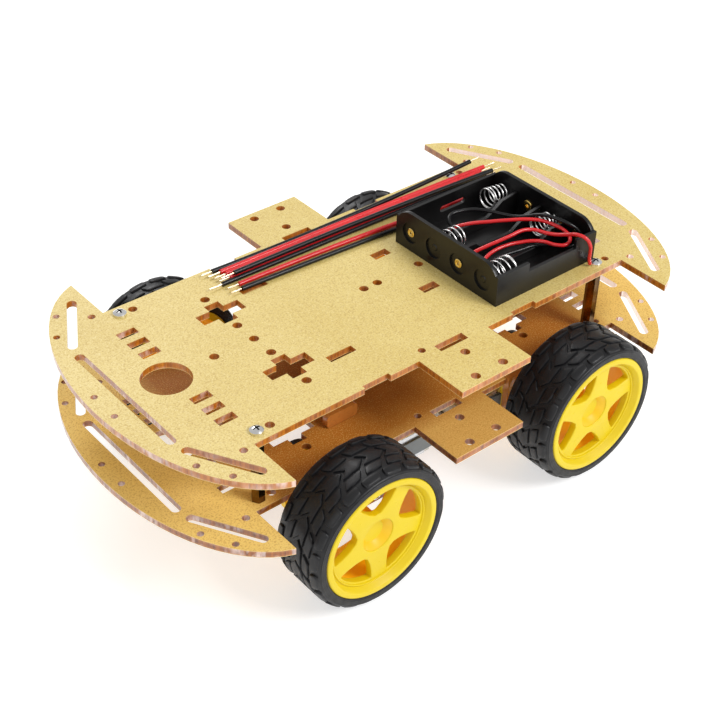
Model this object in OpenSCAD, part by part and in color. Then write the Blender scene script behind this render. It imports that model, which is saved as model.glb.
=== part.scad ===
// Four wheel robot chassis: two acrylic decks, four geared motors, wheels and a battery box.
// Millimetres, +Z up, +X towards the battery box end, origin on the ground under the middle.

/* [Wheels] */
// Tyre outer diameter
tyre_d = 65; // [62:0.5:67]
// Tyre width
tyre_w = 26; // [24:0.5:26]
// Rim outer diameter at its lip
rim_d = 54; // [52:0.5:55]
// Distance between the axles along X
wheelbase = 119; // [116:1:124]

/* [Decks] */
// Acrylic thickness
deck_t = 3; // [2.5:0.1:3.2]
// Overall length of a deck
deck_len = 264; // [256:1:276]
// Overall width of a deck over its horns and wings
deck_w = 150; // [146:1:152]
// Width of the body of a deck
body_w = 101.2; // [100.8:0.1:102]
// Half the length of the body between the notches
notch_x = 96.8; // [96:0.1:99]
// Half the width of a side wing
wing_x = 18.1; // [15:0.1:20]
// Length of the hexagonal spacers between the decks
spacer_len = 30; // [25:1:40]

/* [Motors] */
// Width of the gearbox across the axle
gearbox_w = 18.8; // [18.4:0.1:19]
// Height of the gearbox
gearbox_h = 22.5; // [21.8:0.1:22.5]
// Distance between the two mounting holes
mount_gap = 17; // [16.6:0.1:17]
// Distance from the axle to the mounting holes
mount_x = 20.3; // [20.1:0.1:20.6]
// Distance of the gearbox middle from the centre line of the car
gearbox_y = 39.6; // [39.4:0.1:39.7]
// Diameter of the output shaft
shaft_d = 5.4; // [5.2:0.1:5.6]
// Width across the flats of the output shaft
shaft_flat = 3.7; // [3.5:0.1:3.9]
// Diameter of the encoder disc
encoder_d = 20.4; // [18:0.2:21]

/* [Battery box] */
// Length of the box along the cells
box_l = 57.5; // [56:0.5:60]
// Width of the box over its four cells
box_w = 61.8; // [61.8:0.1:63]
// Height of its end walls
box_h = 18; // [17:0.5:19]
// Height of its side walls
side_h = 14; // [13:0.5:14.5]

/* [Wires] */
// Diameter of a loose motor wire
wire_d = 2.1; // [1.6:0.1:2.1]
// Diameter of a battery lead
lead_d = 1.6; // [1.2:0.1:1.6]

/* [Hidden] */
$fn = 64;
e = 0.02;
running = 0.05;

axle_z = tyre_d / 2;
axle_x = wheelbase / 2;
axle_drop = 11.3;
low_z = axle_z + axle_drop;
high_z = low_z + deck_t + spacer_len;
floor_z = high_z + deck_t;
wheel_in = 54.6;
wheel_out = wheel_in + tyre_w;

// Deck outline and holes, all given for one corner
horn_x = 88.4;
horn_a = deck_len / 2 - horn_x;
horn_b = 76.5;
recess_mid = 38.9;
recess_len = 12.9;
recess_edge = 48.9;
hole_d = 4;
small_hole_d = 3.2;
front_post = [92, 45.6];
rear_post = [86, 45.7];
cross_mid = [59.5, 22.2];
bracket_t = 3;
slot_w = 3.8;
slot_mid_y = 28.5;

// Gears of one motor: module and tooth numbers
fine_m = 0.4;
last_m = 0.5;
pinion_n = 8;
crown_n = 24;
big_n = 32;
transfer_x = (pinion_n + big_n) / 2 * last_m;
crown_x = transfer_x + (pinion_n + big_n) / 2 * fine_m;
crown_r = crown_n * fine_m / 2;
pinion_x = crown_x + crown_r;
pin_d = 2;

// Gearbox shell and motor
shell_wall = 1.6;
nose_x = -11.3;
tail_x = 26;
can_len = 25;
can_d = 20.1;
can_flat = 15.1;
cap_t = 2.6;
m3 = 3;
fit = 0.05;

// Battery box
box_x = 30;
box_y = -42.8;
cell_pitch = 14.7;
cell_mid = box_y + box_w / 2;
cell_z = floor_z + 8.6;
end_t = 1.8;
side_t = 1.5;
low_side = [18, 12, 10];
window_x = 25.5;
window_z = 7.5;
window_h = 3;

// ---- shared shapes ----

// A 2D bar with rounded ends between two points.
module bar(p, q, d) {
    len = norm(q - p);
    translate(p) rotate(atan2(q.y - p.y, q.x - p.x)) {
        translate([0, -d / 2]) square([len, d]);
        circle(d = d);
        translate([len, 0]) circle(d = d);
    }
}

// A 2D rectangle with round corners, without hulls.
module rounded(x0, x1, y0, y1, r) {
    translate([x0 + r, y0]) square([x1 - x0 - 2 * r, y1 - y0]);
    translate([x0, y0 + r]) square([x1 - x0, y1 - y0 - 2 * r]);
    for (x = [x0 + r, x1 - r], y = [y0 + r, y1 - r])
        translate([x, y]) circle(r = r);
}

// Stands a flat outline drawn in X and Z up, from y = 0 towards +Y.
module upright(t) {
    translate([0, t, 0]) rotate([90, 0, 0]) linear_extrude(t) children();
}

// A cylinder lying along Y from y0 to y1.
module along_y(r, y0, y1) {
    translate([0, y1, 0]) rotate([90, 0, 0]) cylinder(r = r, h = y1 - y0);
}

// A cylinder lying along X from x0 to x1.
module along_x(r, x0, x1) {
    translate([x0, 0, 0]) rotate([0, 90, 0]) cylinder(r = r, h = x1 - x0);
}

// Puts the drawing of the front left corner, which is outward along -Y, on any corner.
module corner(rear, right) {
    mirror([rear ? 1 : 0, 0, 0]) mirror([0, right ? 1 : 0, 0]) children();
}

// Draws one copy of a part at all four corners.
module all_corners() {
    for (rear = [false, true], right = [false, true]) corner(rear, right) children();
}

// From a corner's drawing to the motor's own frame: the axle along Y at the gearbox middle.
module at_motor() {
    translate([-axle_x, -gearbox_y, axle_z]) children();
}

// Directions from each route point to the next.
function unit(v) = v / norm(v);
function tangent(p, i) = let (n = len(p) - 1)
    unit(p[min(i + 1, n)] - p[max(i - 1, 0)]);
function side_of(t) = abs(t.z) > 0.95 ? unit(cross(t, [0, 1, 0])) : unit(cross(t, [0, 0, 1]));

// One closed tube along a route.
module tube(route, d, sides = 8) {
    n = len(route);
    pts = [for (i = [0:n - 1]) let (t = tangent(route, i), s = side_of(t), u = cross(s, t))
        for (k = [0:sides - 1]) let (a = 360 * (k + 0.5) / sides)
            route[i] + d / 2 * (s * cos(a) + u * sin(a))];
    walls = [for (i = [0:n - 2]) for (k = [0:sides - 1]) let (j = (k + 1) % sides)
        [i * sides + k, i * sides + j, (i + 1) * sides + j, (i + 1) * sides + k]];
    start = [for (k = [sides - 1:-1:0]) k];
    stop = [for (k = [0:sides - 1]) (n - 1) * sides + k];
    polyhedron(pts, concat([start, stop], walls), convexity = 4);
}

// ---- decks ----

function horn_point(a) = [horn_x + horn_a * cos(a), horn_b * sin(a)];
horn_end = asin(deck_w / 2 / horn_b);
horn_steps = 30;

module horn_outline() {
    arc = [for (i = [0:horn_steps]) horn_point(-horn_end + 2 * horn_end * i / horn_steps)];
    polygon(concat([[notch_x, -deck_w / 2]], arc, [[notch_x, deck_w / 2]]));
}

module deck_outline() {
    difference() {
        union() {
            square([2 * notch_x + 4, body_w], center = true);
            square([2 * wing_x, deck_w], center = true);
            for (s = [1, -1]) scale([s, 1]) horn_outline();
        }
        for (sx = [1, -1], sy = [1, -1])
            translate([sx * recess_mid, sy * (recess_edge + 5)])
                square([recess_len, 10], center = true);
    }
}

// Cuts of one quarter of a deck.
module quarter_cuts() {
    translate([notch_x + 4.9, 51.1]) circle(d = small_hole_d);
    translate([112.6, 59.8]) circle(d = 2.8);
    translate([119.5, 47.6]) circle(d = 2.8);
    translate([127.5, 7]) circle(d = 2.8);
    translate(front_post) circle(d = small_hole_d);
    translate([86, 45.6]) circle(d = 3.8);
    bar([117.6, 38.8], [103.2, 63.8], 4);
    for (y = [17.3, 25.15, 33]) translate([96.5, y]) square([8.4, 4.2], center = true);
    translate(cross_mid) square([20.4, 6.6], center = true);
    translate(cross_mid) square([6.8, 14.4], center = true);
    for (dy = [-11.1, 11.1]) translate(cross_mid + [0, dy]) circle(d = hole_d);
    translate([recess_mid, slot_mid_y]) square([12.6, slot_w], center = true);
    translate([7.2, 70.7]) circle(d = hole_d);
}

module deck(thickness) {
    linear_extrude(thickness) difference() {
        deck_outline();
        for (sx = [1, -1], sy = [1, -1]) scale([sx, sy]) quarter_cuts();
        for (s = [1, -1]) {
            bar([s * 119.1, -31], [s * 119.1, 31], 4.1);
            translate([s * 59.5, 0]) circle(d = hole_d);
            translate([s * 78.4, 0]) circle(d = hole_d);
            translate([0, s * 57.1]) circle(d = hole_d);
            translate([0, s * 49.1]) square([14.4, 4.3], center = true);
            translate([-12.8, s * 46.1]) circle(d = small_hole_d);
            translate([18.4, s * 15.5]) square([8.6, 4.4], center = true);
            translate([s * 3.6, 0]) circle(d = hole_d);
        }
        translate([26.3, 0]) circle(d = hole_d);
        translate([-100.3, 0]) circle(d = 20.2);
    }
}

module top_deck() {
    color("burlywood") translate([0, 0, high_z]) deck(deck_t);
}

module bottom_deck() {
    color("tan") translate([0, 0, low_z]) deck(deck_t);
}

// Runs a part at the four spacers.
module at_posts() {
    for (sy = [1, -1]) {
        translate([-front_post.x, sy * front_post.y, 0]) children();
        translate([rear_post.x, sy * rear_post.y, 0]) children();
    }
}

module deck_spacers() {
    color("saddlebrown") at_posts() translate([0, 0, low_z + deck_t]) difference() {
        cylinder(d = 5.77, h = spacer_len, $fn = 6);
        for (z = [-e, spacer_len - 8]) translate([0, 0, z]) cylinder(d = m3 + 2 * fit, h = 8 + 2 * e);
    }
}

// A pan head cross screw, head above z = 0 and thread below.
module pan_screw(len, head_d = 5.5, head_h = 2, d = m3) {
    difference() {
        union() {
            translate([0, 0, -len]) cylinder(d = d, h = len + head_h / 2);
            intersection() {
                cylinder(d = head_d, h = head_h);
                translate([0, 0, head_h - head_d * 0.75]) sphere(r = head_d * 0.75);
            }
        }
        for (a = [0, 90]) rotate(a) translate([-1.5, -0.35, head_h - 1.1]) cube([3, 0.7, 2]);
    }
}

module deck_screws() {
    color("silver") at_posts() {
        translate([0, 0, floor_z]) pan_screw(8);
        translate([0, 0, low_z]) mirror([0, 0, 1]) pan_screw(8);
    }
}

// ---- motor brackets and their bolts, drawn at one corner ----

bracket_top = low_z + deck_t + 6;
bracket_low = axle_z - mount_gap / 2 - 4.5;
bracket_w = 12.2;
head_w = 15.4;

module bracket_outline(wide) {
    difference() {
        union() {
            rounded(-bracket_w / 2, bracket_w / 2, bracket_low, low_z + deck_t, 1.2);
            translate([-bracket_w / 2, low_z - 2]) square([bracket_w, deck_t + 2]);
            if (wide) rounded(-head_w / 2, head_w / 2, low_z + deck_t, bracket_top, 1.5);
        }
        for (s = [1, -1])
            translate([recess_mid - axle_x + mount_x, axle_z + s * mount_gap / 2])
                circle(d = 3.2);
    }
}

// The inner bracket hangs by its head in a slot, the outer one is a plain strip in the recess.
module motor_brackets() {
    inner = gearbox_y - gearbox_w / 2;
    outer = gearbox_y + gearbox_w / 2;
    color("peru") all_corners() translate([-recess_mid, 0, 0]) {
        translate([0, -inner, 0]) upright(bracket_t) bracket_outline(true);
        translate([0, -outer - bracket_t, 0]) upright(bracket_t) bracket_outline(false);
    }
}

module at_mount_holes() {
    for (s = [1, -1]) translate([mount_x, 0, s * mount_gap / 2]) children();
}

module bracket_bolts() {
    color("silver") all_corners() at_motor() at_mount_holes()
        translate([0, -gearbox_w / 2 - bracket_t, 0]) rotate([90, 0, 0]) pan_screw(30, 5.4, 1.9);
}

module bracket_nuts() {
    color("silver") all_corners() at_motor() at_mount_holes()
        translate([0, gearbox_w / 2 + bracket_t + 2.4, 0]) rotate([90, 0, 0]) difference() {
            cylinder(d = 5.5 / cos(30), h = 2.4, $fn = 6);
            translate([0, 0, -1]) cylinder(d = m3 + 2 * fit, h = 5);
        }
}

// ---- wheel, drawn in the motor's frame ----

rim_face = gearbox_y - wheel_out;
rim_back = gearbox_y - wheel_in;
seat_r = 25.3;
hub_back = -gearbox_w / 2 - 0.5;
spoke_face = rim_face + 3;
spoke_t = 3.5;
hub_r = 9.6;
pocket_mouth = 7.3;
pocket_floor = 4.6;
pocket_depth = 3.3;

// Outline of the tyre's section, x is the radius and y the place along the axle.
module tyre_section() {
    r = tyre_d / 2;
    polygon([[seat_r, rim_face + 1.9], [rim_d / 2 + 0.1, rim_face + 1.9],
        [rim_d / 2 + 0.3, rim_face + 0.3], [30.4, rim_face + 0.2], [31.4, rim_face + 0.9],
        [r - 0.3, rim_face + 3], [r, rim_face + 5], [r, rim_back - 5], [r - 0.3, rim_back - 3],
        [31.4, rim_back - 0.9], [30.4, rim_back - 0.2], [rim_d / 2 + 0.3, rim_back - 0.3],
        [rim_d / 2 + 0.1, rim_back - 1.9], [seat_r, rim_back - 1.9]]);
}

// Turns a section about the axle.
module turned() {
    rotate([-90, 0, 0]) rotate_extrude($fn = 96) children();
}

module tyre() {
    color([0.13, 0.13, 0.14]) at_motor() turned() tyre_section();
}

module rim_section() {
    drum = seat_r - 1.5;
    polygon([[drum, rim_back], [rim_d / 2, rim_back], [rim_d / 2, rim_back - 1.8],
        [seat_r - running, rim_back - 1.8], [seat_r - running, rim_face + 1.8],
        [rim_d / 2, rim_face + 1.8], [rim_d / 2, rim_face + 0.5], [rim_d / 2 - 0.5, rim_face],
        [rim_d / 2 - 2.4, rim_face], [drum - 1.6, rim_face + 2.4], [drum - 1.6, spoke_face + spoke_t],
        [drum, spoke_face + spoke_t]]);
}

// One spoke, waisted between the hub and the drum.
module spoke_outline() {
    polygon([[hub_r - 0.4, -5.6], [11, -4.6], [14, -4], [18, -3.6], [22.6, -3.5],
        [22.6, 3.5], [18, 3.6], [14, 4], [11, 4.6], [hub_r - 0.4, 5.6]]);
}

module rim(phase) {
    color("gold") at_motor() {
        turned() rim_section();
        difference() {
            union() {
                translate([0, spoke_face, 0]) upright(spoke_t)
                    for (k = [0:4]) rotate(phase + 72 * k) spoke_outline();
                along_y(hub_r, spoke_face, spoke_face + spoke_t + 1.5);
                along_y(5.6, spoke_face + 1, hub_back);
            }
            translate([0, spoke_face, 0]) turned() polygon([[0, -1], [pocket_mouth, -1],
                [pocket_mouth, 0], [pocket_floor, pocket_depth], [0, pocket_depth]]);
            double_flat(running, -gearbox_w / 2 - 9.6, hub_back + 1);
        }
    }
}

// The double-D form of the shaft end, grown by a clearance.
module double_flat(gap, y0, y1) {
    intersection() {
        along_y(shaft_d / 2 + gap, y0, y1);
        translate([-10, y0 - 1, -shaft_flat / 2 - gap])
            cube([20, y1 - y0 + 2, shaft_flat + 2 * gap]);
    }
}

// ---- gears ----

// A spur gear outline with straight sided teeth, a tooth centred on the angle phase.
module gear_outline(n, m, phase) {
    step = 360 / n;
    root = m * n / 2 - 1.15 * m;
    tip = m * n / 2 + 0.85 * m;
    wide = 0.27 * step;
    slim = 0.1 * step;
    polygon([for (k = [0:n - 1]) let (a = phase + k * step)
        for (c = [[root, -wide], [tip, -slim], [tip, slim], [root, wide]])
            c[0] * [cos(a + c[1]), sin(a + c[1])]]);
}

module gear(n, m, phase, y0, y1) {
    translate([0, y0, 0]) upright(y1 - y0) gear_outline(n, m, phase);
}

// The output gear with its double ended shaft in one moulding.
module output_gear() {
    half = gearbox_w / 2 + 9;
    color("white") at_motor() {
        gear(big_n, last_m, 0, -2, 2);
        along_y(4, 0, 5.3);
        along_y(shaft_d / 2, -gearbox_w / 2 + 0.2, gearbox_w / 2 - 0.2);
        double_flat(0, -half, half);
    }
}

module transfer_gear() {
    color("white") at_motor() translate([transfer_x, 0, 0]) difference() {
        union() {
            gear(big_n, fine_m, 0, -5.1, -3.5);
            gear(pinion_n, last_m, 180 / pinion_n, -3.5 - e, 3);
        }
        along_y(pin_d / 2 + running, -10, 10);
    }
}

module crown_gear() {
    teeth_y = -fine_m * pinion_n / 2;
    color("white") at_motor() translate([crown_x, 0, 0]) difference() {
        union() {
            along_y(crown_r + 0.7, -3.3, teeth_y - 0.5);
            for (k = [0:crown_n - 1]) rotate([0, -k * 360 / crown_n, 0])
                translate([crown_r - 0.9, teeth_y - 0.5 - e, -0.17]) cube([1.5, 0.8, 0.34]);
            gear(pinion_n, fine_m, 180 / pinion_n, -5.2, -3.3 + e);
        }
        along_y(pin_d / 2 + running, -10, 10);
    }
}

// Motor shaft with its pinion and armature.
module rotor() {
    color("silver") at_motor() {
        along_x(1, pinion_x - 1.4, tail_x + can_len + 0.6);
        translate([pinion_x - 1.2, 0, 0]) rotate([90, 0, 90])
            linear_extrude(2.4) gear_outline(pinion_n, fine_m, 180 / pinion_n);
        along_x(6.2, tail_x + 4, tail_x + can_len - 5);
        along_x(2.6, tail_x + can_len - 5 - e, tail_x + can_len - 1);
    }
}

// ---- gearbox and motor ----

case_screws = [[-8.4, 8.6], [-8.4, -8.6], [11.6, 8.9]];
cavity_x0 = nose_x + shell_wall;
cavity_x1 = tail_x - shell_wall;
cavity_z = gearbox_h / 2 - shell_wall;

module nose_tab() {
    difference() {
        rounded(nose_x - 5, nose_x + 2, -5, 5, 1.5);
        translate([nose_x - 2.4, 0]) circle(d = 3);
    }
}

// Half of the gearbox: side is -1 for the outer half and 1 for the inner half.
module gearbox_half(side) {
    w = gearbox_w / 2;
    mirror([0, side < 0 ? 1 : 0, 0]) difference() {
        union() {
            difference() {
                upright(w) rounded(nose_x, tail_x, -gearbox_h / 2, gearbox_h / 2, 2.5);
                translate([0, -1, 0]) upright(w - shell_wall + 1)
                    rounded(cavity_x0, cavity_x1, -cavity_z, cavity_z, 1.2);
            }
            upright(1.3) nose_tab();
            for (s = [1, -1]) translate([mount_x, 0, s * mount_gap / 2]) along_y(2.7, 0, w - 0.5);
            for (p = case_screws) translate([p.x, 0, p.y]) along_y(1.9, 0, w - 0.5);
            along_y(4.2, 5.6, w - 0.5);
            for (x = [transfer_x, crown_x]) translate([x, 0, 0]) along_y(1.7, 5.6, w - 0.5);
        }
        along_y(shaft_d / 2 + running, -1, w + 1);
        for (x = [transfer_x, crown_x]) translate([x, 0, 0]) along_y(pin_d / 2 + fit, -1, w - 0.8);
        for (s = [1, -1]) translate([mount_x, 0, s * mount_gap / 2]) along_y(1.6, -1, w + 1);
        for (p = case_screws) translate([p.x, 0, p.y]) along_y(1 + fit, -1, side < 0 ? 5 : w + 1);
        along_x(3.15, cavity_x1 - 1, tail_x + 1);
    }
}

module gearbox_inner() {
    color([0.95, 0.8, 0.1]) at_motor() gearbox_half(1);
}

module gearbox_outer() {
    color([0.95, 0.8, 0.1]) at_motor() gearbox_half(-1);
}

// Section of the motor can, flatted on two sides, across X.
module can_section(inset) {
    intersection() {
        circle(d = can_d - 2 * inset);
        square([can_flat - 2 * inset, can_d], center = true);
    }
}

module along_can(x0, x1) {
    translate([x0, 0, 0]) rotate([90, 0, 90]) linear_extrude(x1 - x0) children();
}

module motor_can() {
    color("silver") at_motor() difference() {
        union() {
            along_can(tail_x, tail_x + can_len) can_section(0);
            along_x(3.1, tail_x - 1.4, tail_x + 1);
        }
        along_can(tail_x + 1, tail_x + can_len + 1) can_section(0.8);
        along_x(1 + running, tail_x - 2, tail_x + 2);
    }
}

module motor_end_caps() {
    x0 = tail_x + can_len;
    color("white") all_corners() at_motor() difference() {
        union() {
            along_can(x0, x0 + cap_t) can_section(0.3);
            along_x(3.4, x0 + cap_t - e, x0 + cap_t + 1.6);
            for (s = [1, -1]) translate([x0 + cap_t - e, -1.1, s * 6.6 - 0.3]) cube([3, 2.2, 0.6]);
        }
        along_x(1 + running, x0 - 1, x0 + 1.2);
    }
}

module motor_straps() {
    x1 = tail_x + can_len + cap_t;
    y1 = can_flat / 2;
    color([0.9, 0.92, 0.9]) all_corners() at_motor() difference() {
        translate([tail_x, -y1 - 0.9, -4]) cube([x1 - tail_x + 0.9, 2 * y1 + 1.8, 8]);
        translate([tail_x - 1, -y1, -5]) cube([x1 - tail_x + 1, 2 * y1, 10]);
        along_x(3.5, x1 - 1, x1 + 3);
    }
}

module gearbox_screws() {
    color("silver") all_corners() at_motor()
        for (p = case_screws) translate([p.x, gearbox_w / 2, p.y]) rotate([-90, 0, 0])
            pan_screw(gearbox_w / 2 + 4.9, 3.8, 1.3, 2);
}

module gear_pins() {
    w = gearbox_w / 2 - 0.8;
    color("silver") all_corners() at_motor()
        for (x = [transfer_x, crown_x]) translate([x, 0, 0]) along_y(pin_d / 2, -w, w);
}

module encoder_disc() {
    y0 = gearbox_w / 2 + 5.2;
    color([0.1, 0.1, 0.11]) at_motor() difference() {
        union() {
            along_y(encoder_d / 2, y0, y0 + 2);
            along_y(4.4, y0, y0 + 3.4);
        }
        double_flat(running, y0 - 1, y0 + 5);
        for (k = [0:19]) rotate([0, k * 18, 0])
            translate([6.2, y0 - 1, -0.55]) cube([2.6, 4, 1.1]);
    }
}

// ---- battery box ----

function cell_y(i) = cell_mid + (1.5 - i) * cell_pitch;
contact_end = [0, 1, 0, 1];

module end_wall_outline() {
    corner_r = 9;
    translate([box_y, 0]) square([box_w, box_h - corner_r]);
    translate([box_y + corner_r, 0]) square([box_w - 2 * corner_r, box_h]);
    for (y = [box_y + corner_r, box_y + box_w - corner_r])
        translate([y, box_h - corner_r]) circle(r = corner_r);
}

module box_rib(y) {
    translate([0, y + 0.6, floor_z]) rotate([90, 0, 0]) linear_extrude(1.2)
        polygon([[box_x + 1, 1], [box_x + 1, 12], [box_x + 4.5, 11], [box_x + 9, 5],
            [box_x + box_l - 9, 5], [box_x + box_l - 4.5, 11], [box_x + box_l - 1, 12],
            [box_x + box_l - 1, 1]]);
}

module battery_box() {
    x1 = box_x + box_l;
    y1 = box_y + box_w;
    color([0.09, 0.09, 0.1]) difference() {
        union() {
            translate([box_x, box_y, floor_z]) cube([box_l, box_w, side_t]);
            for (x = [box_x, x1 - end_t]) translate([x, 0, floor_z]) rotate([90, 0, 90])
                linear_extrude(end_t) end_wall_outline();
            for (y = [box_y, y1 - side_t]) translate([box_x, y, floor_z])
                cube([box_l, side_t, side_h]);
            for (i = [0:2]) box_rib(cell_y(i) - cell_pitch / 2);
        }
        translate([box_x + low_side[0], box_y - 1, floor_z + low_side[2]])
            cube([box_l - low_side[0] - low_side[1], side_t + 2, box_h]);
        translate([box_x, y1 - side_t - 1, floor_z]) upright(side_t + 2)
            bar([window_x, window_z], [window_x + 12, window_z], window_h);
        for (i = [0:3]) {
            for (x = [box_x - 1, x1 - 0.8]) translate([x, cell_y(i), cell_z])
                along_x(4.7, 0, 1.8);
            translate([0, cell_y(i), cell_z]) along_x(1.5 + fit, box_x - 1, x1 + 1);
        }
    }
}

// A coil spring lying along X from x = 0, a little wider at its free end.
spring_turns = 5;
spring_wire = 0.8;
spring_r = 4.6;
spring_flare = 0.8;
spring_rise = 0.6;
spring_lengths = [12.4, 11, 9.8, 12.4];
module coil_spring(len) {
    steps = round(spring_turns * 9);
    tube([for (i = [0:steps])
        let (u = i / steps, a = 360 * spring_turns * u, r = spring_r + spring_flare * u)
        [len * u, r * cos(a), r * sin(a)]], spring_wire, 6);
}

module battery_springs() {
    x0 = box_x + end_t + 1;
    x1 = box_x + box_l - end_t - 1;
    color("silver") for (i = [0:3])
        translate([contact_end[i] == 1 ? x0 : x1, cell_y(i), cell_z + spring_rise])
            coil_spring((contact_end[i] == 1 ? 1 : -1) * spring_lengths[i]);
}

// A brass rivet through an end wall, head inside.
module contact_rivet() {
    along_x(2.6, end_t, end_t + 0.5);
    along_x(1.5, 0.4, end_t + e);
    along_x(1.9, 0.2, 0.8 - e);
}

module battery_contacts() {
    color("goldenrod") for (i = [0:3]) {
        translate([box_x, cell_y(i), cell_z]) contact_rivet();
        translate([box_x + box_l, cell_y(i), cell_z]) mirror([1, 0, 0]) contact_rivet();
    }
}

// ---- cords ----

// Height of a wire's middle above the ground when it lies on the top deck.
wire_z = floor_z + wire_d / 2 + 0.05;

// A wire from x0 to x1: its places across the deck at both ends and at its middle, and how
// many wire diameters each of the three lies above the deck.
wire_mid = 40;
function wire_route(x0, x1, y, lift = [0, 0, 0]) = [
    [x0, y[0], wire_z + lift[0] * wire_d], [wire_mid, y[1], wire_z + lift[1] * wire_d],
    [x1, y[2], wire_z + lift[2] * wire_d]];

red_routes = [wire_route(-44, 103, [44.4, 42.9, 41]), wire_route(-43, 99, [42, 40.7, 38.8]),
    wire_route(-48.5, 98, [36.6, 35.2, 34.4]), wire_route(-43, 96, [32.6, 28.4, 23.2])];
black_routes = [wire_route(-46.5, 98, [46.8, 45.8, 45.2], [0, 0, 1.26]),
    wire_route(-43, 97, [39.2, 38, 36.6]),
    wire_route(-41.5, 101, [37.9, 36.2, 33.4], [1, 1.1, 1.1]),
    wire_route(-44, 99, [29.2, 24.8, 20.6])];

module motor_wires(a, b) {
    color([0.85, 0.1, 0.12]) tube(a, wire_d);
    color([0.1, 0.1, 0.11]) tube(b, wire_d);
}

// Battery leads, given above the deck: each leaves the contact end of the box, lies in a loop
// over the cells' bays and comes back; the red one then goes over the side wall.
red_lead = [for (p = [[41.8, 3.6, 7], [46.6, 1.8, 9], [52, -2.8, 11.4], [58.2, -8.4, 12.8],
    [64.4, -13.6, 13.8], [70.4, -18.6, 14.4], [74.4, -23.4, 14.6], [77, -28.2, 13.8],
    [79, -32.4, 12.4], [78.4, -36.4, 11], [74.6, -38.2, 10.2], [71.2, -35.4, 9.8],
    [69.4, -30.6, 9.6], [66.4, -26.6, 9.2], [61.6, -23.6, 8.8], [55.6, -21.4, 8.4],
    [49, -20.6, 7.6], [42.4, -21.8, 6.4], [37.6, -23.2, 5.4], [33.8, -19.6, 4.6],
    [36.6, -15, 4.8], [41.8, -15.2, 6.6], [47.6, -17, 8.6], [53.6, -19.2, 10.4],
    [59.4, -20.8, 11.8], [65, -21.8, 12.6], [69.4, -24.4, 12.4], [71.8, -29, 12.2],
    [74, -33.4, 12.8], [75.8, -37.4, 14.2], [77, -41.4, 15.6], [78.4, -45, 15],
    [79.8, -46.6, 11.8], [80.6, -46.4, 8], [81.4, -45.8, 4.4], [82.4, -45.6, 1.2]])
    p + [0, 0, floor_z]];
black_lead = [for (p = [[45.8, -2.6, 6.8], [45.4, 0.4, 10.2], [46.2, 3.7, 12], [48.8, 5.6, 12.8],
    [53.4, 5, 13.2], [58.6, 2.4, 13.4], [63.2, -2.2, 13.2], [67, -7.8, 12.8], [70, -13, 13.2],
    [72.4, -17.2, 14.6], [74.4, -21.2, 16.4], [76, -25.4, 17.2], [77.6, -29.6, 17],
    [79.8, -33.4, 16], [82.4, -36.4, 13.6], [83.4, -38, 10.2], [80.4, -38.2, 7.4],
    [75.6, -34.4, 6.8], [72, -29.6, 6.6], [66.6, -26.4, 6.4], [60.6, -25.2, 6.2],
    [54.6, -24.2, 6.2], [48.6, -23.4, 5.8], [43.4, -24.2, 4.4]]) p + [0, 0, floor_z]];

module battery_lead_red() {
    color([0.85, 0.1, 0.12]) tube(red_lead, lead_d);
}

module battery_lead_black() {
    color([0.1, 0.1, 0.11]) tube(black_lead, lead_d);
}

// Angle of the first spoke of each wheel.
spoke_turn = [57, 50, 24, 34];

top_deck();
bottom_deck();
deck_spacers();
deck_screws();
motor_brackets();
bracket_bolts();
bracket_nuts();
corner(false, false) tyre();  // tyre_front_left
corner(false, true) tyre();  // tyre_front_right
corner(true, false) tyre();  // tyre_rear_left
corner(true, true) tyre();  // tyre_rear_right
corner(false, false) rim(spoke_turn[0]);  // rim_front_left
corner(false, true) rim(spoke_turn[1]);  // rim_front_right
corner(true, false) rim(spoke_turn[2]);  // rim_rear_left
corner(true, true) rim(spoke_turn[3]);  // rim_rear_right
corner(false, false) output_gear();  // output_gear_front_left
corner(false, true) output_gear();  // output_gear_front_right
corner(true, false) output_gear();  // output_gear_rear_left
corner(true, true) output_gear();  // output_gear_rear_right
corner(false, false) encoder_disc();  // encoder_disc_front_left
corner(false, true) encoder_disc();  // encoder_disc_front_right
corner(true, false) encoder_disc();  // encoder_disc_rear_left
corner(true, true) encoder_disc();  // encoder_disc_rear_right
corner(false, false) transfer_gear();  // transfer_gear_front_left
corner(false, true) transfer_gear();  // transfer_gear_front_right
corner(true, false) transfer_gear();  // transfer_gear_rear_left
corner(true, true) transfer_gear();  // transfer_gear_rear_right
corner(false, false) crown_gear();  // crown_gear_front_left
corner(false, true) crown_gear();  // crown_gear_front_right
corner(true, false) crown_gear();  // crown_gear_rear_left
corner(true, true) crown_gear();  // crown_gear_rear_right
corner(false, false) rotor();  // rotor_front_left
corner(false, true) rotor();  // rotor_front_right
corner(true, false) rotor();  // rotor_rear_left
corner(true, true) rotor();  // rotor_rear_right
corner(false, false) gearbox_inner();  // gearbox_inner_front_left
corner(false, true) gearbox_inner();  // gearbox_inner_front_right
corner(true, false) gearbox_inner();  // gearbox_inner_rear_left
corner(true, true) gearbox_inner();  // gearbox_inner_rear_right
corner(false, false) gearbox_outer();  // gearbox_outer_front_left
corner(false, true) gearbox_outer();  // gearbox_outer_front_right
corner(true, false) gearbox_outer();  // gearbox_outer_rear_left
corner(true, true) gearbox_outer();  // gearbox_outer_rear_right
corner(false, false) motor_can();  // motor_can_front_left
corner(false, true) motor_can();  // motor_can_front_right
corner(true, false) motor_can();  // motor_can_rear_left
corner(true, true) motor_can();  // motor_can_rear_right
motor_end_caps();
motor_straps();
gearbox_screws();
gear_pins();
battery_box();
battery_springs();
battery_contacts();
battery_lead_red();
battery_lead_black();
motor_wires(red_routes[0], black_routes[0]);  // motor_wires_1
motor_wires(red_routes[1], black_routes[1]);  // motor_wires_2
motor_wires(red_routes[2], black_routes[2]);  // motor_wires_3
motor_wires(red_routes[3], black_routes[3]);  // motor_wires_4
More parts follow.
